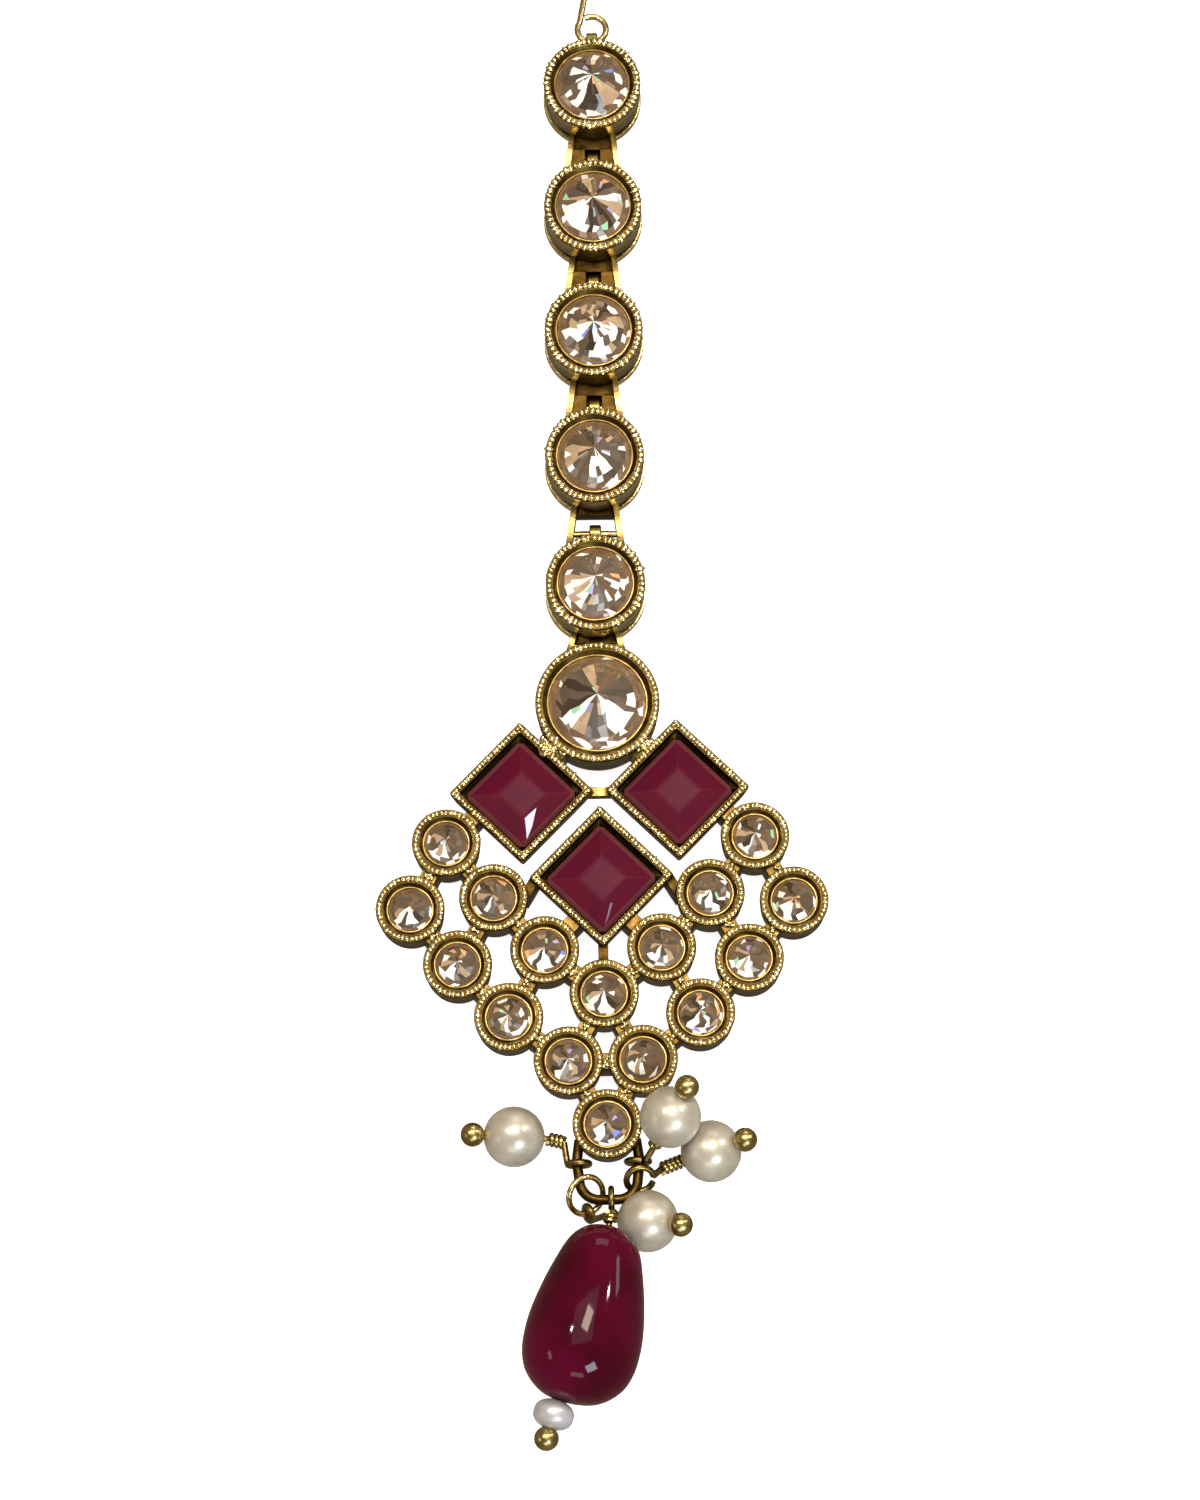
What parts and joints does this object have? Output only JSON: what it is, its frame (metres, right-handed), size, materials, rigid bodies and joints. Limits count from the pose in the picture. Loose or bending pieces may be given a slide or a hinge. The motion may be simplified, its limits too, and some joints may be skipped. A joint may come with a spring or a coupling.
{
  "type": "maang tikka",
  "caption": "Gold-tone forehead jewel: a hinged chain of round stone settings, a lozenge pendant with square rubies and round stones, pearl drops and a ruby teardrop.",
  "frame": {"origin": "centre of the flat back of the middle ruby's box, on the surface that the jewel lies on", "axes": "+Y up the chain towards the hair hook, +Z out of the front of the stones, +X to the right seen from the front"},
  "size_m": [0.0298, 0.1059, 0.0075],
  "materials": {
    "antique_gold": "antiqued gold plate, bright on the beaded rims and dark brown in the recesses",
    "champagne_stone": "foiled champagne crystal, cut and set point up",
    "ruby_glass": "opaque deep magenta glass, square cut with a low table",
    "ruby_bead": "glossy opaque ruby bead",
    "ivory_pearl": "ivory imitation pearl with a soft lustre",
    "white_pearl": "small white imitation pearl"
  },
  "bodies": {
    "root": {"crown_stone": "champagne_stone", "drop_bead": "ruby_bead", "hair_hook": "antique_gold", "head_pin_drop": "antique_gold", "head_pin_left": "antique_gold", "head_pin_lower": "antique_gold", "head_pin_right": "antique_gold", "head_pin_upper": "antique_gold", "jump_ring": "antique_gold", "link_1": "antique_gold", "link_2": "antique_gold", "link_3": "antique_gold", "link_4": "antique_gold", "link_5": "antique_gold", "link_stone_1": "champagne_stone", "link_stone_2": "champagne_stone", "link_stone_3": "champagne_stone", "link_stone_4": "champagne_stone", "link_stone_5": "champagne_stone", "pearl_left": "ivory_pearl", "pearl_lower": "ivory_pearl", "pearl_right": "ivory_pearl", "pearl_upper": "ivory_pearl", "pendant_frame": "antique_gold", "rondelle_pearl": "white_pearl", "ruby_centre": "ruby_glass", "ruby_left": "ruby_glass", "ruby_right": "ruby_glass", "small_stone_01": "champagne_stone", "small_stone_02": "champagne_stone", "small_stone_03": "champagne_stone", "small_stone_04": "champagne_stone", "small_stone_05": "champagne_stone", "small_stone_06": "champagne_stone", "small_stone_07": "champagne_stone", "small_stone_08": "champagne_stone", "small_stone_09": "champagne_stone", "small_stone_10": "champagne_stone", "small_stone_11": "champagne_stone", "small_stone_12": "champagne_stone", "small_stone_13": "champagne_stone", "small_stone_14": "champagne_stone", "small_stone_15": "champagne_stone", "small_stone_16": "champagne_stone"}
  },
  "joints": []
}
